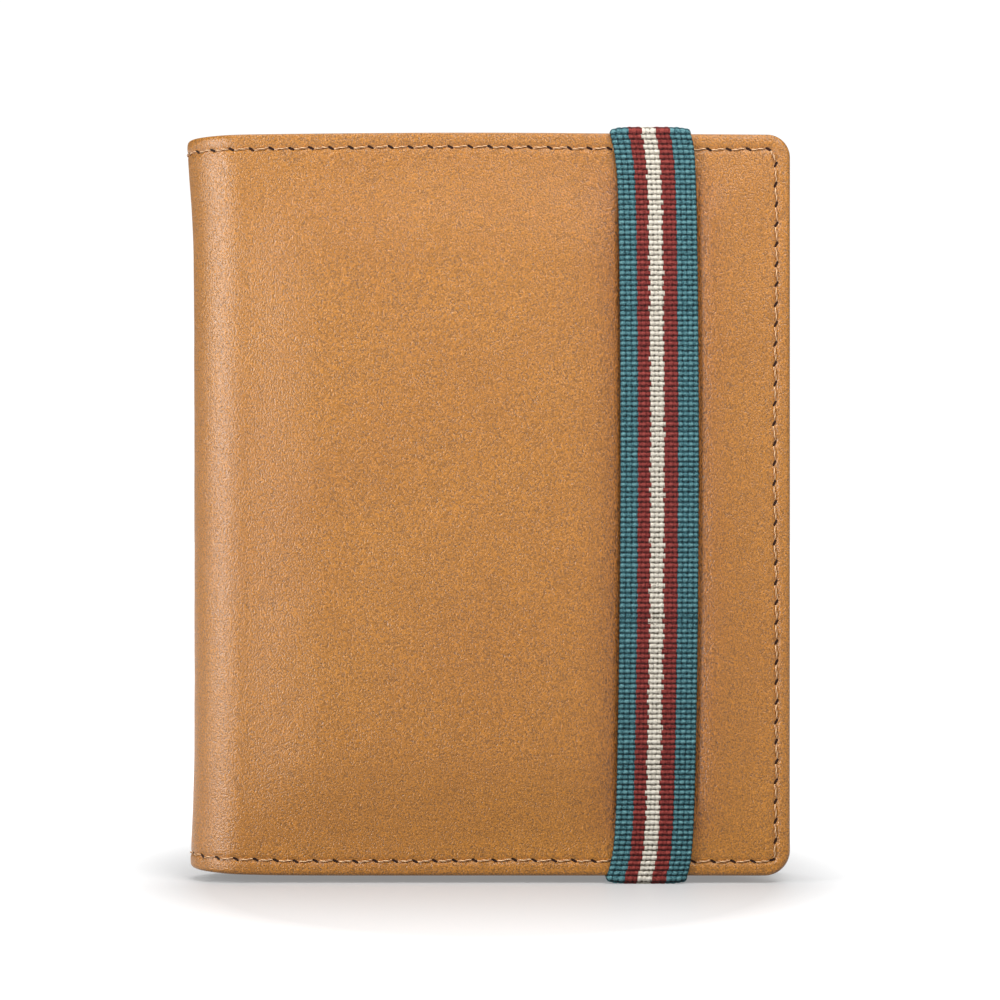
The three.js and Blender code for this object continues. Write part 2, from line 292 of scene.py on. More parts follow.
def sheet(s, z, place, lift, rings, back=None):
    """Points and quads of a sheet, and the points' places along s. Its shown face is a grid, its border
    is turned through rings of (outward, depth), and back closes it with a flat grid at that depth."""
    rows, columns = s.shape
    loop = border(rows, columns)
    at = np.stack([s.ravel(), z.ravel()], -1)
    rim, after = at[loop], np.roll(at[loop], -1, 0)
    outward = -left_of(unit(after - np.roll(rim, 1, 0)))
    if np.sum(rim[:, 0] * after[:, 1] - after[:, 0] * rim[:, 1]) < 0:
        outward = -outward
    lift = np.broadcast_to(lift, s.shape).ravel()
    places, lifts, faces = [at], [lift], [grid_faces(rows, columns)]
    last, count = loop, rows * columns
    for out, depth in rings:
        places.append(rim + outward * np.reshape(out, (-1, 1)))
        lifts.append(lift[loop] - depth)
        ring = count + np.arange(len(loop))
        faces.append(loop_faces(ring, last))
        last, count = ring, count + len(loop)
    if back is not None:
        places.append(at)
        lifts.append(lift - back)
        faces.append(loop_faces(count + loop, last))
        faces.append(grid_faces(rows, columns, count)[:, ::-1])
    at_s, at_z = np.concatenate(places).T
    points = place(at_s, at_z, np.concatenate(lifts))
    faces = np.concatenate(faces)
    sample = faces[(rows - 1) * (columns - 1) // 2]
    a, b, _, d = points[sample]
    up = place(at_s[sample], at_z[sample], lifts[0][sample] + 1.0) - points[sample]
    if np.dot(np.cross(b - a, d - a), up.mean(0)) < 0:
        faces = faces[:, ::-1]
    return points, faces, at_s


def turned_edge(outer, inner, thickness, tail=0.0):
    """Rings of (outward, depth) round a turned edge, from the shown face to the hidden one."""
    rings = []
    for angle in np.linspace(0, math.pi / 2, 6)[1:]:
        rings.append((outer * math.sin(angle), outer * (1 - math.cos(angle))))
    rings.append((outer, outer + (thickness - outer - inner) / 2))
    for angle in np.linspace(0, math.pi / 2, 5):
        out = outer - inner * (1 - math.cos(angle))
        rings.append((out, thickness - inner + inner * math.sin(angle)))
    if tail:
        rings.append((outer - inner - tail / 2, thickness))
        rings.append((outer - inner - tail, thickness))
    return rings


# ---- Pieces split at the spine's folds ----


def arc_point(angle, radius):
    """A point of the spine, in metres. The angle is 0 at the back cover and pi at the front cover."""
    x, y, _ = wrap((angle - math.pi / 2) * HALF, 0.0, radius - HALF)
    return (x * MM, y * MM, MIDDLE_Z * MM)


SEGMENTS = ["back", "spine", "front"]  # parts of a wrapped piece, one to each fold
SPLITS = [(FOLD_ARC * k - math.pi / 2) * HALF for k in range(1, len(FOLDS))]
AT_SPLIT = SPLITS[1] + np.array([-0.04, 0.0, 0.04])  # close grid lines, so that each part ends evenly


def bending_pieces(name, points, faces, at_s, materials, shades, values):
    """Splits a wrapped mesh between the folds, into one piece for each part."""
    segment = np.searchsorted(SPLITS, at_s[faces].mean(1))
    pieces = []
    for k, part in enumerate(SEGMENTS):
        chosen = segment == k
        used, renamed = np.unique(faces[chosen], return_inverse=True)
        piece = add_mesh(
            f"{name}_{part}",
            points[used],
            renamed.reshape(-1, 4),
            materials,
            None if shades is None else np.asarray(shades)[chosen],
            {key: np.asarray(value)[used] for key, value in (values or {}).items()},
        )
        start, end = arc_point(FOLD_ARC * k, INNERMOST), arc_point(FOLD_ARC * (k + 1), INNERMOST)
        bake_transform(piece)
        pieces.append(piece)
    return pieces


# ---- Materials ----


class Shader:
    """A material's node tree, built line by line."""

    def __init__(self, name):
        self.material = bpy.data.materials.new(name)
        self.material.use_nodes = True
        self.tree = self.material.node_tree
        self.principled = self.tree.nodes["Principled BSDF"]
        self.rest = self.node("ShaderNodeAttribute", attribute_name="rest").outputs["Vector"]

    def node(self, kind, **settings):
        node = self.tree.nodes.new(kind)
        for key, value in settings.items():
            setattr(node, key, value)
        return node

    def link(self, source, target):
        if isinstance(source, (int, float, tuple)):
            target.default_value = source
        else:
            self.tree.links.new(source, target)

    def value(self, name):
        """A point attribute."""
        return self.node("ShaderNodeAttribute", attribute_name=name).outputs["Fac"]

    def math(self, operation, a, b=0.0, c=0.0):
        node = self.node("ShaderNodeMath", operation=operation)
        for source, target in zip((a, b, c), node.inputs):
            self.link(source, target)
        return node.outputs[0]

    def stretch(self, vector, scale):
        node = self.node("ShaderNodeVectorMath", operation="MULTIPLY")
        self.link(vector, node.inputs[0])
        self.link(scale, node.inputs[1])
        return node.outputs[0]

    def noise(self, scale, detail=3.0, roughness=0.55, vector=None):
        node = self.node("ShaderNodeTexNoise")
        self.link(vector or self.rest, node.inputs["Vector"])
        node.inputs["Scale"].default_value = scale
        node.inputs["Detail"].default_value = detail
        node.inputs["Roughness"].default_value = roughness
        return node.outputs["Fac"]

    def cells(self, scale):
        node = self.node("ShaderNodeTexVoronoi")
        self.link(self.rest, node.inputs["Vector"])
        node.inputs["Scale"].default_value = scale
        return node.outputs["Distance"]

    def ramp(self, source, *stops):
        """A colour ramp through (place, colour) stops."""
        node = self.node("ShaderNodeValToRGB")
        elements = node.color_ramp.elements
        while len(elements) < len(stops):
            elements.new(0.5)
        for element, (place, colour) in zip(elements, stops):
            element.position = place
            element.color = (*colour, 1.0)
        self.link(source, node.inputs["Fac"])
        return node.outputs["Color"]

    def range(self, source, from_low, from_high, to_low, to_high):
        node = self.node("ShaderNodeMapRange")
        for target, number in enumerate((from_low, from_high, to_low, to_high), start=1):
            node.inputs[target].default_value = number
        self.link(source, node.inputs["Value"])
        return node.outputs["Result"]

    def mix(self, share, a, b, blend="MIX"):
        node = self.node("ShaderNodeMixRGB", blend_type=blend)
        for source, target in zip((share, a, b), node.inputs):
            self.link((*source, 1.0) if isinstance(source, tuple) else source, target)
        return node.outputs[0]

    def bump(self, height, distance, normal=None):
        node = self.node("ShaderNodeBump")
        node.inputs["Distance"].default_value = distance * MM
        self.link(height, node.inputs["Height"])
        if normal is not None:
            self.link(normal, node.inputs["Normal"])
        return node.outputs["Normal"]

    def finish(self, colour, roughness, normal=None, **sockets):
        inputs = self.principled.inputs
        self.link(colour, inputs["Base Color"])
        self.link(roughness, inputs["Roughness"])
        if normal is not None:
            self.link(normal, inputs["Normal"])
        for key, number in sockets.items():
            inputs[key.replace("_", " ")].default_value = number
        return self.material


def linear(red, green, blue):
    """A colour given in sRGB from 0 to 255, as the linear numbers that shaders take."""
    values = (np.array((red, green, blue)) / 255.0 + 0.055) / 1.055
    return tuple(float(v) for v in values**2.4)


# How many features each texture has to a millimetre.
CLOUDS, PATCHES, PEBBLES, PORES = 0.03, 0.12, 3.4, 3.0
WRINKLES = (3.6, 3.6, 1.8)
FIBRES = (3.6, 5.0, 5.0)
THREAD_FUZZ = 14.0


def leather_material(name, light, dark, rim, painted_band_shade, grain=1.0):
    """Smooth drum-dyed leather: faintly cloudy colour, fine pebbled grain, upright wrinkles, painted
    shade beside the elastic, where the wrinkles and grain are also stronger, and darker, drier edges."""
    shader = Shader(name)
    shade_and_crinkle_mask = shader.value("band_shade_and_crinkle")
    edge = shader.value("edge")
    colour = shader.ramp(shader.noise(CLOUDS), (0.35, dark), (0.65, light))
    pebbles = shader.noise(PEBBLES, detail=1.0, roughness=0.5)
    slanted = shader.stretch(shader.rest, WRINKLES)
    wrinkles = shader.noise(1.0, detail=1.0, roughness=0.5, vector=slanted)
    share = shader.math("MULTIPLY_ADD", shade_and_crinkle_mask, 0.6, 0.3)
    change = shader.math("SUBTRACT", wrinkles, pebbles)
    relief = shader.math("MULTIPLY_ADD", change, share, pebbles)
    pores = shader.cells(PORES)
    patches = shader.range(shader.noise(PATCHES, detail=2.0), 0.35, 0.65, 0.93, 1.07)
    strength = shader.math("MULTIPLY_ADD", shade_and_crinkle_mask, 0.6, patches)
    shade = shader.math("MULTIPLY", shader.range(relief, 0.34, 0.66, -0.45, 0.40), strength)
    shade = shader.math("ADD", shade, shader.range(pores, 0.0, 0.6, 0.74, 1.16))
    grey = shader.node("ShaderNodeCombineColor")
    for channel in range(3):
        shader.link(shade, grey.inputs[channel])
    # painted shade beside the elastic: the colour darkens towards the painted shade tan
    colour = shader.mix(shader.math("MULTIPLY", shade_and_crinkle_mask, 0.9), colour, painted_band_shade)
    colour = shader.mix(1.0, colour, grey.outputs[0], "MULTIPLY")
    colour = shader.mix(shader.math("MULTIPLY", edge, 0.75), colour, rim)
    roughness = shader.range(relief, 0.36, 0.64, 0.33, 0.41)
    roughness = shader.math("ADD", roughness, shader.math("MULTIPLY", edge, 0.1))
    normal = shader.bump(pores, 0.05 * grain)
    normal = shader.bump(relief, 0.20 * grain, normal=normal)
    return shader.finish(colour, roughness, normal, Specular_IOR_Level=0.85, IOR=1.45)


def fabric_material(name, light, dark, scale):
    """Plain-woven cloth, whose threads are 0.31 mm / scale apart, with painted shade where the threads
    dip.
    """
    shader = Shader(name)
    weave = shader.node("ShaderNodeTexWave", wave_type="BANDS", bands_direction="X")
    weft = shader.node("ShaderNodeTexWave", wave_type="BANDS", bands_direction="Z")
    for node in (weave, weft):
        shader.link(shader.rest, node.inputs["Vector"])
        node.inputs["Scale"].default_value = scale
        node.inputs["Distortion"].default_value = 0.6
    height = shader.math("MULTIPLY", weave.outputs["Fac"], weft.outputs["Fac"])
    # painted shade: darker where the threads dip
    colour = shader.ramp(height, (0.0, dark), (0.6, light))
    roughness = shader.range(shader.noise(0.2), 0.3, 0.7, 0.78, 0.92)
    return shader.finish(colour, roughness, shader.bump(height, 0.12), Specular_IOR_Level=0.3)


def yarn_material(name, light, middle, dark):
    """Matt spun yarn: bright fibres on the ribs, and painted shade towards the gaps between them."""
    shader = Shader(name)
    fibres = shader.noise(1.0, roughness=0.7, vector=shader.stretch(shader.rest, FIBRES))
    tone = shader.range(fibres, 0.3, 0.7, -0.48, 0.42)
    # the height value carries the painted shade of the weave's gaps and holes
    height = shader.math("ADD", shader.value("height"), tone)
    colour = shader.ramp(height, (0.10, dark), (0.52, middle), (0.98, light))
    roughness = shader.range(fibres, 0.3, 0.7, 0.7, 0.9)
    normal = shader.bump(fibres, 0.15)
    return shader.finish(colour, roughness, normal, Specular_IOR_Level=0.2)


def thread_material(name, light, dark):
    """Waxed two-ply sewing thread, with painted shade in the grooves between its plies."""
    shader = Shader(name)
    colour = shader.ramp(shader.value("ply"), (0.25, dark), (0.75, light))
    roughness = shader.range(shader.noise(0.8), 0.3, 0.7, 0.5, 0.7)
    normal = shader.bump(shader.noise(THREAD_FUZZ), 0.05)
    return shader.finish(colour, roughness, normal, Specular_IOR_Level=0.35)


def plain_material(name, light, dark, scale, roughness, depth):
    """A material with only fine unevenness, for what is hidden or tiny."""
    shader = Shader(name)
    grain = shader.noise(scale, detail=4.0)
    colour = shader.ramp(grain, (0.35, dark), (0.65, light))
    rough = shader.range(grain, 0.3, 0.7, roughness - 0.08, roughness + 0.08)
    return shader.finish(colour, rough, shader.bump(grain, depth), Specular_IOR_Level=0.3)


TAN_RIM = linear(112, 88, 56)
# colour of the painted shade beside the elastic
PAINTED_SHADE_TAN = (0.30, 0.094, 0.0115)
TAN, DEEP_TAN = (0.458, 0.176, 0.0145), (0.430, 0.160, 0.0120)
POCKET_TAN, POCKET_DEEP = (0.44, 0.18, 0.032), (0.38, 0.148, 0.024)
OUTER = leather_material("tan_leather", TAN, DEEP_TAN, TAN_RIM, PAINTED_SHADE_TAN)
POCKET = leather_material("pocket_leather", POCKET_TAN, POCKET_DEEP, TAN_RIM, PAINTED_SHADE_TAN, grain=0.8)
LINING = fabric_material("lining_cloth", linear(150, 112, 72), linear(92, 64, 38), 2.5)
THREAD = thread_material("seam_thread", linear(250, 208, 160), linear(166, 110, 66))
# dark slits laid on the leather: painted shade inside the needle holes
HOLE_SHADE = plain_material("needle_hole_shade", linear(52, 22, 8), linear(30, 11, 3), 3.0, 0.9, 0.05)
# each yarn's dark colour is the painted shade in the weave's gaps
TEAL = yarn_material("teal_yarn", linear(116, 168, 174), linear(58, 108, 117), linear(6, 26, 32))
RED = yarn_material("burgundy_yarn", linear(168, 76, 68), linear(124, 43, 40), linear(36, 8, 9))
CREAM = yarn_material("cream_yarn", linear(250, 243, 230), linear(228, 219, 202), linear(64, 56, 42))
FOAM = plain_material("padding_foam", linear(214, 210, 200), linear(186, 182, 172), 6.0, 0.92, 0.15)
BOARD = plain_material("stiffener_board", linear(160, 150, 136), linear(130, 122, 110), 3.0, 0.85, 0.08)


# ---- Seams ----


THREAD_RADIUS = 0.20
SLANT = 27.0  # degrees from the seam to its needle holes
SLANT_SPREAD = 2.5  # how unlike one another the hand-pricked holes are, in degrees
HOLE_SPREAD = 0.04  # and how far they stray from the seam's line
SLIT = 0.68  # half a needle hole's length
SLIT_WIDTH = 0.24  # and half its width
ENTRY = 0.42  # from a hole's middle to where the thread goes in
HOLE_LIFT = 0.05  # above the leather, so that it shows
PLY_TURNS = 2.2  # turns of the two plies in one stitch
SUNK = 0.12  # how deep the inner seams lie


class Line:
    """A line in sheet coordinates, measured along its length."""

    def __init__(self, points):
        self.points = np.asarray(points, float)
        steps = np.linalg.norm(np.diff(self.points, axis=0), axis=1)
        self.at = np.concatenate([[0], np.cumsum(steps)])
        self.length = self.at[-1]
        self.closed = np.allclose(self.points[0], self.points[-1])

    def place(self, distance):
        if self.closed:
            distance = np.mod(distance, self.length)
        return np.stack([np.interp(distance, self.at, self.points[:, k]) for k in range(2)], -1)

    def direction(self, distance, reach=0.3):
        return unit(self.place(distance + reach) - self.place(distance - reach))


def rounded_path(corners, radii, closed):
    """A line through corner points, each rounded by its radius."""
    corners = np.asarray(corners, float)
    count = len(corners)
    path = []
    for k, radius in enumerate(radii):
        if not closed and k in (0, count - 1):
            path.append(corners[k])
            continue
        before = unit(corners[k - 1] - corners[k])
        after = unit(corners[(k + 1) % count] - corners[k])
        centre = corners[k] + (before + after) * radius
        for turn in np.linspace(0, math.pi / 2, 13):
            path.append(centre - after * radius * math.cos(turn) - before * radius * math.sin(turn))
    if closed:
        path.append(path[0])
    return Line(path)


def sunk(s, z):
    """The lift of a seam that lies below its sheet's face."""
    return np.full(np.shape(s), -SUNK)


def needle_holes(centre, slit, place, lift_at, first):
    """A narrow dark slit at each needle hole, painted shade inside the hole: points, quads whose indices
    start at first, and the points' places along s."""
    lengthwise, crosswise = 9, 3
    steps = np.linspace(-1, 1, lengthwise)
    width = SLIT_WIDTH * np.sqrt(np.maximum(1 - steps**4, 0.0))
    cross = left_of(slit)
    rows = []
    for share in np.linspace(-1, 1, crosswise):
        along_slit = slit[:, None] * steps[:, None] * SLIT
        across_slit = cross[:, None] * (share * width)[:, None]
        rows.append(centre[:, None] + (along_slit + across_slit))
    s, z = np.moveaxis(np.stack(rows, 2), -1, 0)
    points = place(s.ravel(), z.ravel(), (lift_at(s, z) + HOLE_LIFT).ravel())
    starts = first + np.arange(len(centre)) * lengthwise * crosswise
    faces = np.concatenate([grid_faces(lengthwise, crosswise, start) for start in starts])
    return points, faces, s.ravel()


def seam(line, pitch, place, lift_at, thread=THREAD_RADIUS, slant=SLANT, seed=1):
    """Hand-made stitches along a line: two-ply thread from each slanted needle hole to the next.
    Gives points, quads, the points' places along s, the faces' materials and the painted shade between
    the thread's plies."""
    rng = np.random.default_rng(seed)
    count = int(round(line.length / pitch))
    pitch = line.length / count
    hole_at = pitch * np.arange(count + (0 if line.closed else 1))
    along = line.direction(hole_at)
    left = left_of(along)
    turn = np.radians(slant + rng.normal(0, SLANT_SPREAD, len(hole_at)))[:, None]
    slit = along * np.cos(turn) - left * np.sin(turn)
    centre = line.place(hole_at) + left * rng.normal(0, HOLE_SPREAD, len(hole_at))[:, None]
    then = (np.arange(count) + 1) % len(hole_at)
    start = centre[:count] + slit[:count] * ENTRY
    end = centre[then] - slit[then] * ENTRY

    stations, around = 14, 10
    t = np.linspace(0, 1, stations)
    spin = np.linspace(0, 2 * math.pi, around, endpoint=False)
    path = start[:, None] + (end - start)[:, None] * t[:, None]
    side = left_of(unit(end - start))
    rise = thread * (1.15 - 3.2 * np.abs(2 * t - 1) ** 5)
    phase = rng.uniform(0, 2 * math.pi, count)[:, None, None]
    ply = np.cos(2 * spin - 2 * math.pi * PLY_TURNS * t[:, None] - phase)
    radius = thread * (0.86 + 0.16 * ply) * (1 - 0.25 * np.abs(2 * t - 1) ** 4)[:, None]
    base = lift_at(path[..., 0], path[..., 1])
    across = radius * np.cos(spin)
    s, z = np.moveaxis(path, -1, 0)[..., None] + side.T[..., None, None] * across
    lift = (base + rise)[..., None] + radius * np.sin(spin) * 0.9
    tube = place(s.ravel(), z.ravel(), lift.ravel())
    thread_faces = [tube_faces(stations, around, k * stations * around) for k in range(count)]
    thread_faces = np.concatenate(thread_faces)[:, [0, 3, 2, 1]]

    holes, hole_faces, hole_s = needle_holes(centre, slit, place, lift_at, len(tube))
    points = np.concatenate([tube, holes])
    faces = np.concatenate([thread_faces, hole_faces])
    at_s = np.concatenate([s.ravel(), hole_s])
    shades = np.repeat([0, 1], [len(thread_faces), len(hole_faces)])
    # painted shade in the grooves between the plies
    ply_shade = np.concatenate([0.5 + 0.5 * np.broadcast_to(ply, s.shape).ravel(), np.zeros(len(holes))])
    return points, faces, at_s, shades, ply_shade


# ---- Outer leather ----


def edge_distance(s, z, corner):
    """How far a point of the outer sheet lies inside an outline of the sheet's size whose corners are
    rounded by this radius."""
    across = np.abs(s) - (REACH - corner)
    up = np.abs(z - MIDDLE_Z) - ((HIGH - LOW) / 2 - corner)
    outside = np.hypot(np.maximum(across, 0), np.maximum(up, 0))
    return corner - outside - np.minimum(np.maximum(across, up), 0)


def wander(s, z):
    """How far the hand-guided edge seam strays inwards, in long sways and short ones."""
    return 0.28 * ripple(s, z, 60, 21) + 0.06 * ripple(s, z, 14, 22)


def seam_offset(s, z):
    """How far a point of the outer sheet lies inside the edge seam."""
    straight = edge_distance(s, z, SEAM + SEAM_CORNER) - SEAM
    return straight - wander(s, z)


def edge_seam_line():
    """The edge seam, all round the sheet. It runs anticlockwise, seen from outside."""
    far, low, high = REACH - SEAM, LOW + SEAM, HIGH - SEAM
    corners = [(-far, low), (far, low), (far, high), (-far, high)]
    straight = rounded_path(corners, [SEAM_CORNER] * 4, closed=True)
    at = spaced(0, straight.length, 1.0)
    points, inwards = straight.place(at), left_of(straight.direction(at))
    return Line(points + inwards * wander(points[:, 0], points[:, 1])[:, None])


EDGE_SEAM = edge_seam_line()


def seam_phase(s, z):
    """For points near the edge seam, their place between two needle holes, from 0 to 1."""
    samples = np.linspace(0, EDGE_SEAM.length, 6000, endpoint=False)
    tree = KDTree(len(samples))
    for k, (a, b) in enumerate(EDGE_SEAM.place(samples)):
        tree.insert((a, b, 0), k)
    tree.balance()
    nearest = np.array([tree.find((a, b, 0))[1] for a, b in zip(s, z)], int)
    return samples[nearest] / EDGE_SEAM.length * round(EDGE_SEAM.length / PITCH) % 1.0


def band_centre(z):
    """X of the elastic's middle: it bows towards the fore edge between its two turns."""
    bow = 0.9 * np.square((z - 84.0) / 72.0)
    ends = 1.1 * np.exp(-np.maximum(HIGH - z, 0) / 4.0) + 1.3 * np.exp(-np.maximum(z - LOW, 0) / 4.0)
    return BAND_X + 1.0 - bow - ends


def band_across(s, z):
    """How far a point of the covers lies from the elastic's middle, towards the fore edge. On the back
    cover that is where the elastic rests once it has swung round its sewn ends."""
    centre = band_centre(z)
    centre = np.where(s > 0, centre, 2 * BAND_X - centre)
    return np.abs(s) - QUARTER + SPINE_X - centre


def pressed(s, z):
    """1 where the elastic holds a cover's foam down, fading away beside it."""
    across = band_across(s, z)
    beside = np.maximum(np.abs(across) - BAND_HALF, 0)
    depth = np.exp(-beside / np.where(s < 0, 4.0, np.where(across > 0, 1.9, 2.3)))
    return smooth((np.abs(s) - QUARTER + 4) / 16) * depth


def band_shade_and_crinkle(s, z):
    """How much painted shade and crinkling the front leather gets beside the elastic's edges, from 0 to
    1.
    """
    outside = np.abs(band_across(s, z)) - BAND_HALF
    fade = np.exp(-np.abs(outside) / np.where(outside > 0, 3.4, 1.6))
    on_cover = smooth((np.minimum(z - LOW, HIGH - z) - 2) / 10)
    return (s > 0) * fade * on_cover


PAD_STEP = 2.0  # spacing of the simulated panels' points
SIM_SCALE = 0.1  # simulated metres to a millimetre, because cloth behaves badly at a few millimetres
SIM_FRAMES = 20
FULL_RISE = 3.0  # simulated rise at which the padding is three quarters full


def simulate_panel():
    """A cover's leather panel, sewn down all round and pushed out by the foam behind it. Gives the
    grid of its points and how far each has risen, in millimetres."""
    s_lines = spaced(QUARTER - 4, REACH - SEAM, PAD_STEP)
    z_lines = spaced(LOW + SEAM, HIGH - SEAM, PAD_STEP)
    s, z = np.meshgrid(s_lines, z_lines, indexing="ij")
    rows, columns = s.shape
    points = np.stack([s, z, 0 * s], -1).reshape(-1, 3) * SIM_SCALE
    mesh = bpy.data.meshes.new("panel")
    mesh.from_pydata(points.tolist(), [], grid_faces(rows, columns).tolist())
    panel = add_object("panel", mesh)
    sewn = panel.vertex_groups.new(name="sewn")
    sewn.add(border(rows, columns).tolist(), 1.0, "REPLACE")
    cloth = panel.modifiers.new("cloth", "CLOTH").settings
    cloth.vertex_group_mass = "sewn"
    cloth.quality = 6
    cloth.mass = 0.3
    cloth.tension_stiffness = 25
    cloth.bending_stiffness = 2.0
    cloth.use_pressure = True
    cloth.uniform_pressure_force = 2.5
    cloth.effector_weights.gravity = 0
    for frame_number in range(1, SIM_FRAMES + 1):
        scene.frame_set(frame_number)
    shaped = panel.evaluated_get(bpy.context.evaluated_depsgraph_get()).data
    risen = np.zeros(len(points) * 3)
    shaped.vertices.foreach_get("co", risen)
    risen = np.abs(risen.reshape(-1, 3)[:, 2]).reshape(rows, columns) / SIM_SCALE
    scene.frame_set(1)
    bpy.data.objects.remove(panel)
    return s_lines, z_lines, risen


def sampled(s_lines, z_lines, values, s, z):
    """Values of a grid, read between its points."""
    i = np.clip((s - s_lines[0]) / (s_lines[1] - s_lines[0]), 0, len(s_lines) - 1.001)
    j = np.clip((z - z_lines[0]) / (z_lines[1] - z_lines[0]), 0, len(z_lines) - 1.001)
    row, column = i.astype(int), j.astype(int)
    i, j = i - row, j - column
    near = values[row, column] * (1 - j) + values[row, column + 1] * j
    far = values[row + 1, column] * (1 - j) + values[row + 1, column + 1] * j
    return near * (1 - i) + far * i


PANEL = simulate_panel()


def padding(s, z):
    """How far the foam, which is skived towards the seams, lifts the covers."""
    crown = np.where(s > 0, CROWN, BACK_CROWN)
    foam = crown * smooth(seam_offset(s, z) / 22) * smooth((np.abs(s) - QUARTER + 4) / 20)
    if PANEL is None:
        return foam
    s_lines, z_lines, risen = PANEL
    return foam * np.tanh(sampled(s_lines, z_lines, risen, np.abs(s), z) / FULL_RISE)


def spine_flare(z):
    """How far the ends of the spine stand out, where nothing inside holds it."""
    top = HIGH - z
    foot = z - LOW
    return 1.15 * bell(top / 13) + 0.2 * bell(top / 35) + 0.7 * bell(foot / 14)


# The creases beside the elastic: side, distance from its edge, sway, the sway's length and seed, width
# and depth.
CREASES = [
    (1, 2.0, 0.25, 23, 8, 0.5, 0.14),
    (1, 3.3, 0.3, 31, 9, 0.4, 0.06),
    (-1, 2.2, -0.3, 27, 10, 0.7, 0.05),
]


def crease_depth(s, z):
    """How deep the elastic has creased the front cover's leather."""
    across = band_across(s, z)
    depth = 0
    for side, distance, sway, length, seed, width, deepest in CREASES:
        off = side * across - BAND_HALF - distance - sway * ripple(z, 0, length, seed)
        depth = depth + deepest * bell(off / width)
    end = np.minimum(z - LOW, HIGH - z)
    return (s > 0) * smooth(end / 14) * depth


def leather_lift(s, z):
    """How far the outer leather stands out from the CAD face: padding, seam groove with its puckers,
    the flared ends of the spine, and the trough and creases that the elastic presses."""
    cover = smooth((np.abs(s) - QUARTER + 4) / 16)
    free = 1 - pressed(s, z)
    lift = padding(s, z) * free
    lift = lift + (cover * 0.07 * ripple(s, z, 34, 3) + 0.03 * ripple(s, z, 11, 5)) * free
    lift = lift - crease_depth(s, z)
    lift = lift + bell(s / (0.75 * QUARTER)) * (spine_flare(z) - SPINE_TUCK)
    off = seam_offset(s, z)
    lift = lift - GROOVE * bell(off / 0.5) + 0.05 * bell((off + 1.25) / 0.6)
    near = np.abs(off) < 2.4
    swing = np.cos(2 * math.pi * seam_phase(s[near], z[near]))
    pucker = np.zeros(s.shape)
    pucker[near] = -PUCKER * swing * bell(off[near] / 0.8)
    return lift + pucker


def outer_leather():
    from_edge = np.array([0.0, 0.25, 0.5, 0.8, 1.1, 1.35, 1.6, 1.85, 2.1, 2.4, 2.8, 3.3])
    flat_end = REACH - EDGE
    cover_lines = joined(spaced(QUARTER, flat_end - 3.3, 0.62), flat_end - from_edge)
    spine_lines = joined(spaced(0, QUARTER, 0.45), AT_SPLIT)
    low, high = LOW + EDGE, HIGH - EDGE
    s_lines = joined(-cover_lines, -spine_lines, spine_lines, cover_lines)
    z_lines = joined(low + from_edge, spaced(low + 3.3, high - 3.3, 0.72), high - from_edge)
    s, z = rounded_grid(s_lines, z_lines, BOTTOM_CORNER - EDGE, TOP_CORNER - EDGE)
    at_border = s.ravel()[border(*s.shape)]
    thickness = SPINE + (COVER - SPINE) * smooth((np.abs(at_border) - QUARTER + 1) / 5)
    inner = np.minimum(INNER_EDGE, thickness - EDGE)
    rings = turned_edge(EDGE, inner, thickness, HEM)
    points, faces, at_s = sheet(s, z, cover_place, leather_lift(s, z), rings)
    rim, shade_and_crinkle = np.zeros((2, len(points)))
    # painted shade and crinkling beside the elastic's edges
    shade_and_crinkle[: s.size] = band_shade_and_crinkle(s, z).ravel()
    rim[s.size :] = np.repeat(np.clip(np.linspace(-0.1, 1.5, len(rings)), 0, 1), len(at_border))
    values = {"edge": rim, "band_shade_and_crinkle": shade_and_crinkle}
    made = bending_pieces("outer_leather", points, faces, at_s, [OUTER], None, values)
    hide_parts("back_cover_leather")
    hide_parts("spine_rear_leather", "spine_front_leather")
    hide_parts("front_cover_leather")


def sewn_edge(name, place, lift_at, slant=SLANT, seed=1):
    """The edge seam as it shows on one face of the sheet, in three pieces."""
    points, faces, at_s, shades, ply_shade = seam(EDGE_SEAM, PITCH, place, lift_at, slant=slant, seed=seed)
    return bending_pieces(name, points, faces, at_s, [THREAD, HOLE_SHADE], shades, {"ply": ply_shade})


def edge_seam():
    made = sewn_edge("edge_seam", cover_place, leather_lift)
    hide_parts("back_cover_edge_seam")
    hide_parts("spine_rear_lower_seam", "spine_rear_upper_seam")
    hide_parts("spine_front_lower_seam", "spine_front_upper_seam")
    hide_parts("front_cover_edge_seam")


outer_leather()
edge_seam()


# ---- Elastic band ----


SEWN_IN = 5.0  # how far the elastic's ends are drawn inside the back cover
RIB_HEIGHT = 0.34
LOW_YARN = 0.80  # height of every other yarn, as a share of the highest
CLOSED_HOLE = 0.45  # how open every other gap between the yarns is
RIB_STEPS = 6  # rows of points to a rib
TOP_COLUMNS, UNDER_COLUMNS = 97, 12  # points across its shown face and its hidden one


def band_path():
    """The middle of the elastic, from the upper sewn end over the front to the lower one, as (y, z)."""
    turn_low, turn_high = node_box("elastic_upper_turn")
    foot_low, foot_high = node_box("elastic_lower_turn")
    root_y = turn_high[1] - BAND_THICK / 2
    front_y = (span_low[1] + span_high[1]) / 2
    top, foot = (turn_low[2] + turn_high[2]) / 2, (foot_low[2] + foot_high[2]) / 2
    over_top = [(root_y, top - SEWN_IN), (root_y, top), (front_y, top)]
    under_foot = [(front_y, foot), (root_y, foot), (root_y, foot + SEWN_IN)]
    return rounded_path(over_top + under_foot, [0, 0.7, 0.75, 0.75, 0.7, 0], closed=False)


YARNS = [TEAL, RED, CREAM]
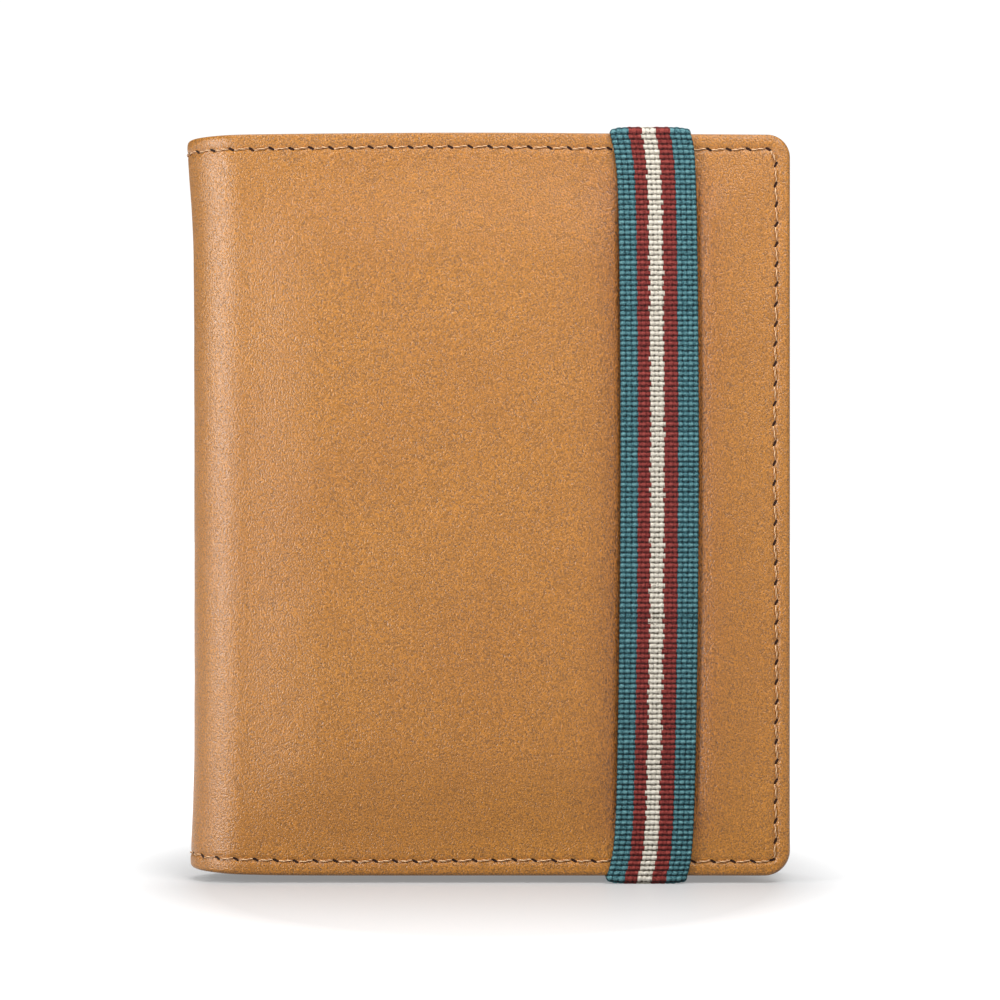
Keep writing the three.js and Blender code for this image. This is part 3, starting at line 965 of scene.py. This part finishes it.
# Width, colour, number of warp yarns and depth between the yarns, for each stripe.
STRIPES = [
    (3.33, TEAL, 3, 0.5),
    (2.45, RED, 3, 0.25),
    (2.7, CREAM, 3, 0.4),
    (2.7, RED, 3, 0.25),
    (4.2, TEAL, 4, 0.5),
]
SCALLOPS = [0.05, 0.15, 0.15, 0.05]  # how far each stripe's edge steps to and fro, in millimetres

WIDTHS, COLOURS, COUNTS, DEPTHS = zip(*STRIPES)
# The stripes' borders across the band, from -1 to 1, and the number of yarns before each.
BORDERS = np.concatenate([[0], np.cumsum(WIDTHS)]) / sum(WIDTHS) * 2 - 1
YARNS_BEFORE = np.concatenate([[0], np.cumsum(COUNTS)])


def weave_shape(u, rib, jitter):
    """For places across the band and counts of ribs along it: how far each rib rises, how high each
    yarn lies on its rib, and how open the gaps between them are."""
    column = np.interp(u, BORDERS, YARNS_BEFORE)
    row = np.floor(rib).astype(int)
    depth = np.array(DEPTHS)[np.searchsorted(BORDERS[1:-1], u)]
    gap = 1 - np.abs(np.sin(math.pi * column)) ** 0.55
    turn_over = np.where((np.floor(column) + row[:, None]) % 2 == 0, 1.0, LOW_YARN)
    ridge = (1 - depth * gap) * turn_over * (1 + 0.07 * jitter[row, 0])[:, None]
    crossing = np.round(column) + np.round(rib)[:, None]
    open_hole = np.where(crossing % 2 == 0, 1.0, CLOSED_HOLE)
    by_yarn = bell((column - np.round(column)) / 0.17)
    by_rib = bell((rib - np.round(rib)) / 0.26)[:, None]
    pit = open_hole * by_yarn * by_rib
    rise = np.abs(np.sin(math.pi * rib)) ** 0.75
    return rise, ridge, pit


def elastic():
    """The woven band: raised ribs across it, warp yarns along it, and five stripes whose edges step
    from rib to rib."""
    path = band_path()
    ribs = int(round(path.length / RIB))
    rows, columns = ribs * RIB_STEPS + 1, TOP_COLUMNS + UNDER_COLUMNS
    at = np.linspace(0, path.length, rows)
    middle = path.place(at)
    along_z = middle[:, 1]
    normal = left_of(path.direction(at, 0.12))
    normal = normal * np.sign(((middle - middle.mean(0)) * normal).sum(1).mean())

    u = np.linspace(-1, 1, TOP_COLUMNS)
    rib = at / RIB
    jitter = np.random.default_rng(12).normal(0, 1, (ribs + 2, 3))
    rise, ridge, pit = weave_shape(u, rib, jitter)
    weave = RIB_HEIGHT * rise[:, None] * ridge * (1 - 0.5 * pit)
    dome = 0.10 * (1 - u**4)
    flare = BAND_HALF + 0.25 * bell((along_z - HIGH) / 6) + 0.25 * bell(along_z / 6)
    selvedge = 0.06 * (rise[:, None] - 0.5)
    half_width = flare[:, None] + selvedge
    height = BAND_THICK / 2 - 0.32 + dome + weave
    edge_drop = np.clip((np.abs(u) - 0.95) / 0.05, 0, 1)
    height = height * (1 - 0.6 * edge_drop**2)
    at_turn = bell((along_z - HIGH) / 2.2) + bell((along_z - LOW) / 2.2)
    height = height - 0.62 * at_turn[:, None] * np.abs(u) ** 7
    v = np.linspace(1, -1, UNDER_COLUMNS + 2)[1:-1]
    under = np.full((rows, UNDER_COLUMNS), -BAND_THICK / 2 + 0.08)
    across = np.broadcast_to(np.concatenate([u, v]), (rows, columns))
    above = np.concatenate([height, under], 1)
    x = band_centre(along_z)[:, None] + across * half_width
    y, z = middle.T[..., None] + normal.T[..., None] * above
    points = np.stack([x, y, z], -1)
    # painted shade: darker in the gaps between ribs and yarns and in the weave's holes
    painted_gap_shade = np.concatenate([weave / RIB_HEIGHT - 0.12 * pit, np.full(under.shape, 0.6)], 1)

    row = np.floor(rib).astype(int)
    shift = np.where(row % 2 == 0, 1.0, -1.0) + 0.2 * jitter[row, 1]
    stripe = np.zeros(across.shape, int)
    for edge, step in zip(BORDERS[1:-1], SCALLOPS):
        stripe += across > edge + step / half_width.mean() * shift[:, None]
    tone = np.array([YARNS.index(colour) for colour in COLOURS])[stripe]

    faces = tube_faces(rows, columns).reshape(rows - 1, columns, 4)
    in_span = np.flatnonzero(middle[:, 0] < span_high[1] + 0.001)
    top_end, foot_end = in_span[0], in_span[-1]
    ranges = [(0, top_end), (top_end, foot_end), (foot_end, rows - 1)]
    names = ["elastic_upper_turn_weave", "elastic_front_weave", "elastic_lower_turn_weave"]
    made = []
    for name, (first, last) in zip(names, ranges):
        own = faces[first:last].reshape(-1, 4) - first * columns
        part = points[first : last + 1].reshape(-1, 3)
        values = {"height": painted_gap_shade[first : last + 1].ravel()}
        made.append(add_mesh(name, part, own, YARNS, tone[first:last].ravel(), values))
    upper, front, lower = made
    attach(front, "band_span")
    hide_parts("elastic_front_span")
    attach(upper, "band_turns")
    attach(lower, "band_turns")
    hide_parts("elastic_upper_turn", "elastic_upper_sewn_end")
    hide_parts("elastic_lower_turn", "elastic_lower_sewn_end")
    for piece, row in ((upper, top_end), (lower, foot_end)):
        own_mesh(piece)


elastic()


# ---- Inside ----


def lining():
    inset = 1.5  # from the leather's edge
    half = joined(spaced(QUARTER, REACH - inset, 1.6), spaced(0, QUARTER, 0.8), AT_SPLIT)
    s_lines = joined(-half, half)
    z_lines = spaced(LOW + inset, HIGH - inset, 1.8)
    s, z = rounded_grid(s_lines, z_lines, BOTTOM_CORNER - inset, TOP_CORNER - inset)
    lift = 0.05 * ripple(s, z, 21, 30) - SUNK * bell(seam_offset(s, z) / 0.9)
    points, faces, at_s = sheet(s, z, lining_place, lift, turned_edge(0.2, 0.15, LINING_THICK))
    made = bending_pieces("lining", points, faces, at_s, [LINING], None, None)
    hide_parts("back_cover_lining")
    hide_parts("spine_rear_lining", "spine_front_lining")
    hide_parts("front_cover_lining")
    sewn_edge("lining_seam", lining_place, sunk, slant=-SLANT, seed=2)


POCKET_PITCH = 3.4
POCKET_THREAD = 0.17
POCKET_GROOVE = 0.14
POCKET_CREASE = 0.12


def pocket(node, body, facing, seed, corner=2.5, notch=0.0, seam_inset=2.6, sides=True):
    """A leather pocket face with turned edges, a creased line below its mouth or a thumb notch in it,
    and its seam. facing is the side it shows along Y."""
    low, high = node_box(node)
    shown = high[1] if facing > 0 else low[1]
    thick = high[1] - low[1]
    turn = min(0.3, thick / 2 - 0.01)
    x0, x1, z0, z1 = low[0] + turn, high[0] - turn, low[2] + turn, high[2] - turn
    middle = (x0 + x1) / 2
    x_lines = joined(spaced(x0, x1, 1.2), spaced(middle - 12, middle + 12, 0.5))
    z_lines = joined(spaced(z0, z1 - 6, 1.4), spaced(z1 - 6, z1, 0.4))
    x, z = rounded_grid(x_lines, z_lines, corner, corner)
    if notch:
        dip = notch * np.sqrt(np.maximum(1 - np.square((x - middle) / notch), 0))
        z = z - dip * smooth((z - z1 + 30) / 30)
    mouth = z1 - z
    lift = 0.04 * ripple(x, z, 19, seed) * smooth(np.minimum(mouth, z - z0) / 6)
    for from_edge in (x - x0, x1 - x, z - z0):
        lift = lift - POCKET_GROOVE * bell((from_edge - seam_inset) / 0.5)
    if not notch:
        lift = lift - POCKET_CREASE * bell((mouth - 2.2) / 0.35)
    place = plane_at(shown, facing)
    points, faces, _ = sheet(x, z, place, lift, turned_edge(turn, turn, thick), back=thick)
    rim = np.zeros(len(points))
    rim[x.size : -x.size] = 0.8
    face = add_mesh(f"{node}_leather", points, faces, [POCKET], None, {"edge": rim})
    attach(face, body)
    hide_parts(node)
    if not sides:
        return
    left, right, foot = x0 + seam_inset, x1 - seam_inset, z0 + seam_inset
    top = z1 - seam_inset
    corners = [(left, top), (left, foot), (right, foot), (right, top)]
    line = rounded_path(corners, [0, 1.0, 1.0, 0], closed=False)
    stitches = seam(line, POCKET_PITCH, place, sunk, POCKET_THREAD, -SLANT * facing, seed)
    points, faces, _, shades, ply_shade = stitches
    stitching = add_mesh(f"{node}_stitches", points, faces, [THREAD, HOLE_SHADE], shades, {"ply": ply_shade})
    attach(stitching, body)
    return stitching


def pockets():
    made = pocket("passport_pocket_face", BODIES[0], -1, notch=8.3, seed=41)
    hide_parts("passport_pocket_seam")
    made = pocket("slip_pocket_face", BODIES[3], 1, seed=43)
    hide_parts("slip_pocket_seam")
    for n in range(1, 5):
        pocket(f"card_slot_{n}", BODIES[3], 1, corner=1.5, seam_inset=2.0, sides=n == 1, seed=50 + n)


lining()
pockets()

KEPT_NODES = {"passport_pocket_gusset": POCKET}  # CAD nodes that only get a material
for side in ("back", "front"):
    KEPT_NODES[f"{side}_cover_foam_padding"] = FOAM
    KEPT_NODES[f"{side}_cover_stiffener_board"] = BOARD
for name, material in KEPT_NODES.items():
    materials = frame["nodes"][name].data.materials
    materials.clear()
    materials.append(material)


# ---- Camera, floor and light ----


LENS = 120.2
CAMERA_DISTANCE = 0.65  # from the front cover
SHIFT = (0.0101, 0.00525)
FLOOR_ALBEDO = (0.50, 0.505, 0.51)
FLOOR_REACH = 6.0
FLOOR_GLOW = 0.25  # under the organizer
FAR_GLOW = 1.0  # and away from it, where the floor looks white
GLOW_RISE = (0.088, 0.15)  # distances between which the glow rises
FRONT_GLOW = 0.17  # more glow in front of the organizer
FRONT_FADE = (-0.085, -0.015)  # Y between which that fades away
WORLD_LIGHT = 0.20  # brightness of the studio
WORLD_SEEN = 1.05  # and of what the camera sees of it
SPINE_SIDE = (-0.04, 0.0, 0.074)  # what the spine's softboxes point at
FORE_SIDE = (0.03, 0.0, 0.09)


def add_camera():
    data = bpy.data.cameras.new("camera")
    data.sensor_width = 36.0
    data.lens = LENS
    data.shift_x, data.shift_y = SHIFT
    data.clip_start, data.clip_end = 0.02, 20.0
    scene.camera = add_object("camera", data)
    scene.camera.location = (0.0, front_low[1] * MM - CAMERA_DISTANCE, MIDDLE_Z * MM)
    scene.camera.rotation_euler = (math.radians(90), 0, 0)


def add_light(name, kind, direction, power):
    data = bpy.data.lights.new(name, kind)
    data.energy = power
    light = add_object(name, data)
    light.rotation_euler = Vector(direction).to_track_quat("-Z", "Y").to_euler()
    return light


def add_softbox(name, place, target, width, height, power):
    """A rectangular lamp at a place, in metres, turned towards a target."""
    light = add_light(name, "AREA", Vector(target) - Vector(place), power)
    light.location = place
    light.data.shape = "RECTANGLE"
    light.data.size, light.data.size_y = width, height
    return light


def add_floor():
    """A pale table that glows with painted light. It glows least under the organizer, and its glow keeps
    the shadow pale.
    """
    mesh = bpy.data.meshes.new("floor")
    corners = [(x * FLOOR_REACH, y * FLOOR_REACH, 0) for x, y in ((-1, -1), (1, -1), (1, 1), (-1, 1))]
    mesh.from_pydata(corners, [], [(0, 1, 2, 3)])
    floor = add_object("floor", mesh)
    floor.visible_diffuse = False
    shader = Shader("floor_acrylic")
    acrylic = shader.finish((*FLOOR_ALBEDO, 1.0), 0.5, Specular_IOR_Level=0.3)
    distance = shader.node("ShaderNodeVectorMath", operation="LENGTH")
    place = shader.node("ShaderNodeTexCoord").outputs["Object"]
    shader.link(shader.stretch(place, (1.6, 1.0, 1.0)), distance.inputs[0])
    around = shader.range(distance.outputs["Value"], *GLOW_RISE, FLOOR_GLOW, FAR_GLOW)
    depth = shader.node("ShaderNodeSeparateXYZ")
    shader.link(place, depth.inputs[0])
    ahead = shader.range(depth.outputs["Y"], *FRONT_FADE, FRONT_GLOW, 0.0)
    # painted light on the floor, which keeps the shadow pale
    glow = shader.math("ADD", around, ahead)
    shader.principled.inputs["Emission Color"].default_value = (1.0, 1.0, 1.0, 1.0)
    shader.link(glow, shader.principled.inputs["Emission Strength"])
    mesh.materials.append(acrylic)


def add_world():
    """An even pale studio, which the camera sees as white."""
    world = bpy.data.worlds.new("studio")
    world.use_nodes = True
    tree = world.node_tree
    background = tree.nodes["Background"]
    background.inputs["Color"].default_value = (1.0, 1.0, 1.0, 1.0)
    seen = tree.nodes.new("ShaderNodeLightPath").outputs["Is Camera Ray"]
    brightness = tree.nodes.new("ShaderNodeMapRange")
    brightness.inputs["To Min"].default_value = WORLD_LIGHT
    brightness.inputs["To Max"].default_value = WORLD_SEEN
    tree.links.new(seen, brightness.inputs["Value"])
    tree.links.new(brightness.outputs["Result"], background.inputs["Strength"])
    scene.world = world


add_camera()
add_floor()
add_world()
sun = add_light("overhead", "SUN", direction=(0.0, -0.31, -1.0), power=1.03)
sun.data.angle = math.radians(30)  # wide, for a soft shadow
add_softbox("spine_strip", (-0.52, -0.36, 0.18), SPINE_SIDE, width=0.26, height=0.5, power=3.1)
gloss = add_softbox("spine_gloss", (-0.56, -0.33, 0.18), SPINE_SIDE, width=0.30, height=0.5, power=2.6)
gloss.visible_diffuse = False  # it shows only in highlights
add_softbox("fore_edge_box", (0.16, -0.25, 0.37), FORE_SIDE, width=0.3, height=0.2, power=1.35)
scene.view_settings.view_transform = "Standard"
